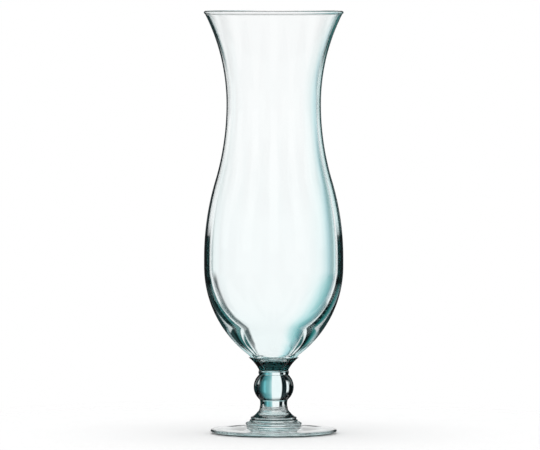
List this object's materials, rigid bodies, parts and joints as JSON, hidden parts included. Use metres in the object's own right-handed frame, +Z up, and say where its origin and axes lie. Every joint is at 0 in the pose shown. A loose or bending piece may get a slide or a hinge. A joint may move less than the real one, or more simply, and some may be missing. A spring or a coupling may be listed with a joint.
{
  "type": "hurricane glass",
  "caption": "Tall waisted drinking glass with a flared mouth and round belly, on a short stem with a merese, ball knop and stepped mount over a flat round foot.",
  "frame": {"origin": "centre of the standing ring under the foot, in the plane that it stands on", "axes": "+Z up the glass's axis, from the foot to the mouth; X and Y are alike, because it is turned"},
  "size_m": [0.0746, 0.0746, 0.2259],
  "materials": {
    "foot_glass": "clear, fire-polished, with a faint blue-green tint",
    "stem_glass": "clear, fire-polished, with a faint blue-green tint that shows in the thick stem",
    "bowl_glass": "clear, blown and fire-polished, with a faint blue-green tint"
  },
  "bodies": {
    "root": {"foot": "foot_glass", "stepped_mount": "stem_glass", "neck": "stem_glass", "ball_knop": "stem_glass", "wafer": "stem_glass", "merese": "stem_glass", "bowl": "bowl_glass"}
  },
  "joints": []
}
